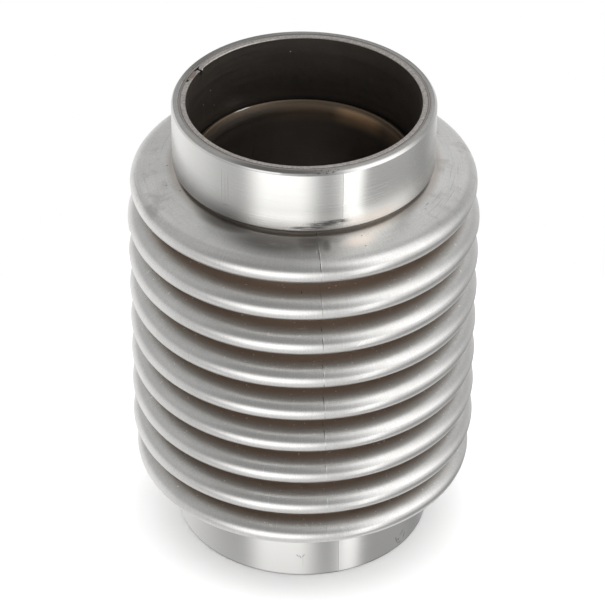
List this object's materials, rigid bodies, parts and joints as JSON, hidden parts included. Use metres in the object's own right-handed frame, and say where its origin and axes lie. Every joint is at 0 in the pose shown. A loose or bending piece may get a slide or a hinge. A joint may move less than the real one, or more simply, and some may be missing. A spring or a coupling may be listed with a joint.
{
  "type": "exhaust flex pipe",
  "caption": "Stainless exhaust flex pipe: corrugated metal bellows with a plain outer collar at each end and telescoping inner liners.",
  "frame": {"origin": "centre of the lower end face, where the pipe stands", "axes": "+Z along the pipe from the lower end to the upper end; +Y points away from the viewer in the picture, +X to the right"},
  "size_m": [0.106, 0.106, 0.15],
  "materials": {
    "collar_steel": "fine satin, brushed round the ring",
    "bellows_steel": "matt satin, brownish tint in the roots",
    "liner_steel": "dull rolled sheet, heat-tinted brown"
  },
  "bodies": {
    "lower_end": {"lower_collar": "collar_steel", "lower_liner": "liner_steel", "bellows": "bellows_steel"},
    "upper_end": {"upper_collar": "collar_steel", "upper_liner": "liner_steel"}
  },
  "joints": [
    {"name": "axial_flex", "type": "slide", "parent": "lower_end", "child": "upper_end", "axis": [0, 0, 1], "range_m": [-0.012, 0.008], "stiffness_N_per_m": 29000, "deforming": ["bellows"]}
  ]
}
